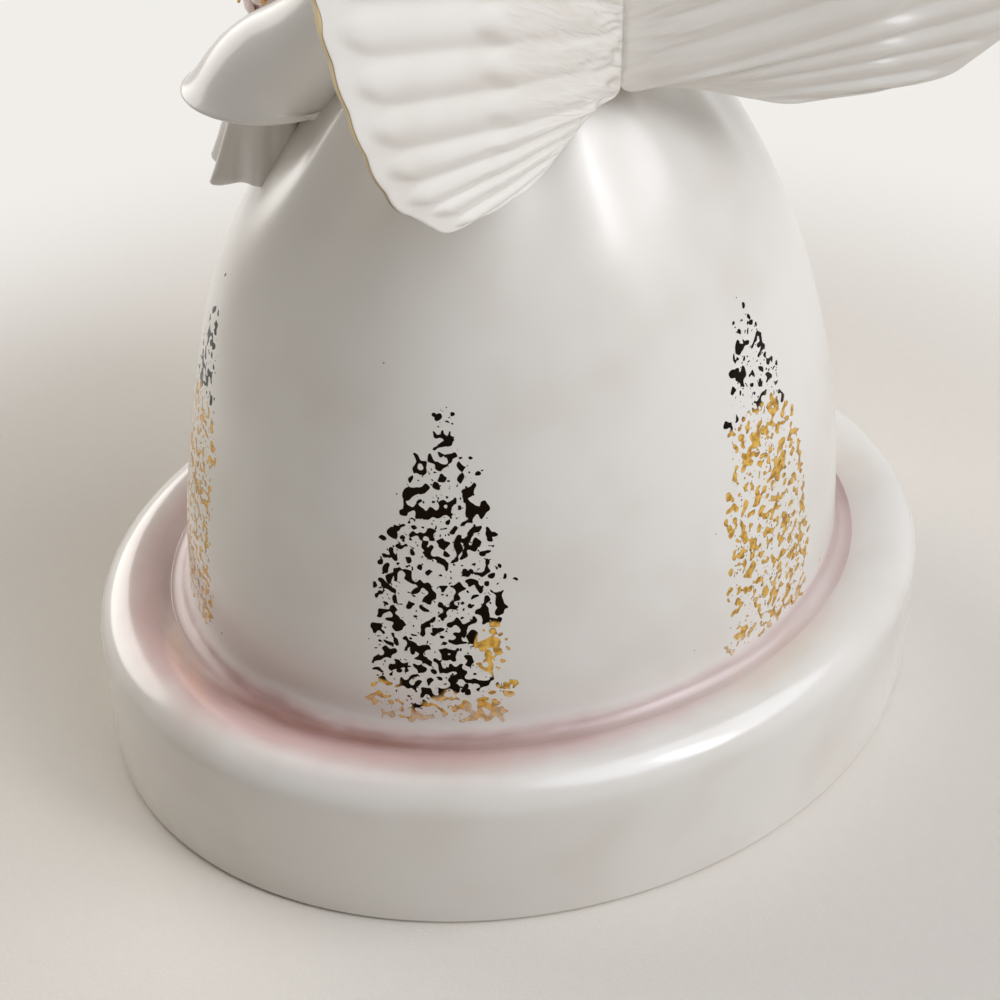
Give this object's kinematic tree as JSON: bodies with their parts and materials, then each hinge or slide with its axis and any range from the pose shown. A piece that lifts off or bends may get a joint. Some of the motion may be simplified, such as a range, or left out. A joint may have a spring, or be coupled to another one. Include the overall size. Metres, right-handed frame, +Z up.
{
  "type": "angel figurine",
  "caption": "Glazed ceramic angel on an oval plinth, with swept ribbed wings, a domed gown, bell sleeves and a posy held in front.",
  "frame": {"origin": "middle of the plinth's foot, on the surface it stands on", "axes": "+Z up, the angel faces -Y, its left side is +X"},
  "size_m": [0.12, 0.102, 0.1563],
  "materials": {
    "white_glaze": "gloss",
    "blush_glaze": "gloss",
    "gold_lustre": "gloss",
    "skin_glaze": "gloss"
  },
  "bodies": {
    "root": {"plinth": "white_glaze", "gown": "white_glaze", "bodice": "white_glaze", "collar": "white_glaze", "head": "skin_glaze", "hair": "white_glaze", "hair_bun": "white_glaze", "left_wing": "white_glaze", "right_wing": "white_glaze", "left_sleeve": "white_glaze", "right_sleeve": "white_glaze", "left_cuff": "white_glaze", "right_cuff": "white_glaze", "left_hand": "skin_glaze", "right_hand": "skin_glaze", "posy_heart": "gold_lustre", "posy_stems": "gold_lustre", "posy_bow": "blush_glaze", "middle_rose_1": "blush_glaze", "middle_rose_2": "blush_glaze", "left_rose_1": "blush_glaze", "left_rose_2": "blush_glaze", "left_rose_3": "blush_glaze", "right_rose_1": "blush_glaze", "right_rose_2": "blush_glaze", "right_rose_3": "blush_glaze", "left_leaf_1": "gold_lustre", "left_leaf_2": "gold_lustre", "left_leaf_3": "gold_lustre", "right_leaf_1": "gold_lustre", "right_leaf_2": "gold_lustre", "right_leaf_3": "gold_lustre"}
  },
  "joints": []
}
